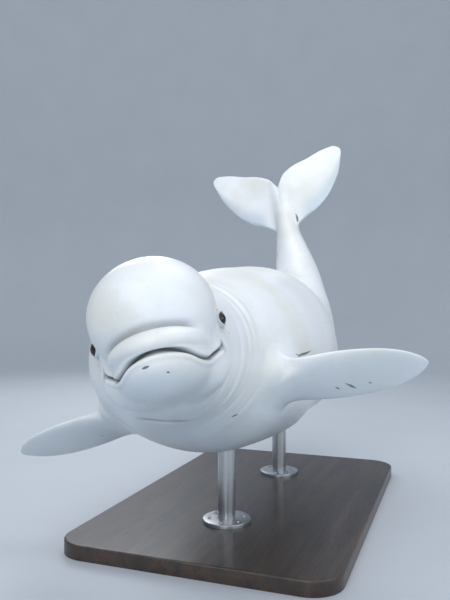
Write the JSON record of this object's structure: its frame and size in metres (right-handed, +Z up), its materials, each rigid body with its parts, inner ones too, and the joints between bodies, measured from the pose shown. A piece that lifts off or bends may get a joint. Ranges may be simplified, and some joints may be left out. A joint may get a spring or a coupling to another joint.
{
  "type": "beluga whale figure on a display stand",
  "caption": "Life-size adult beluga whale turning with raised flukes and spread flippers, its belly held on rods above a flat rounded base.",
  "frame": {"origin": "centre of the underside of the stand's base", "axes": "+Z up, the whale's head towards -Y and its left side towards +X"},
  "size_m": [1.6511, 3.2637, 2.1433],
  "materials": {
    "skin": "satin, slightly wet white whale skin",
    "eye": "wet dark brown eye",
    "stand_board": "dark satin lacquer",
    "stand_steel": "brushed"
  },
  "bodies": {
    "root": {"head": "skin", "lower_jaw": "skin", "neck": "skin", "chest": "skin", "trunk": "skin", "loin": "skin", "tail_stock": "skin", "fluke_root": "skin", "fluke_left": "skin", "fluke_right": "skin", "flipper_left": "skin", "flipper_right": "skin", "eye_left": "eye", "eye_right": "eye", "stand_base": "stand_board", "stand_rod_front": "stand_steel", "stand_rod_rear": "stand_steel", "stand_flange_front": "stand_steel", "stand_flange_rear": "stand_steel"}
  },
  "joints": []
}
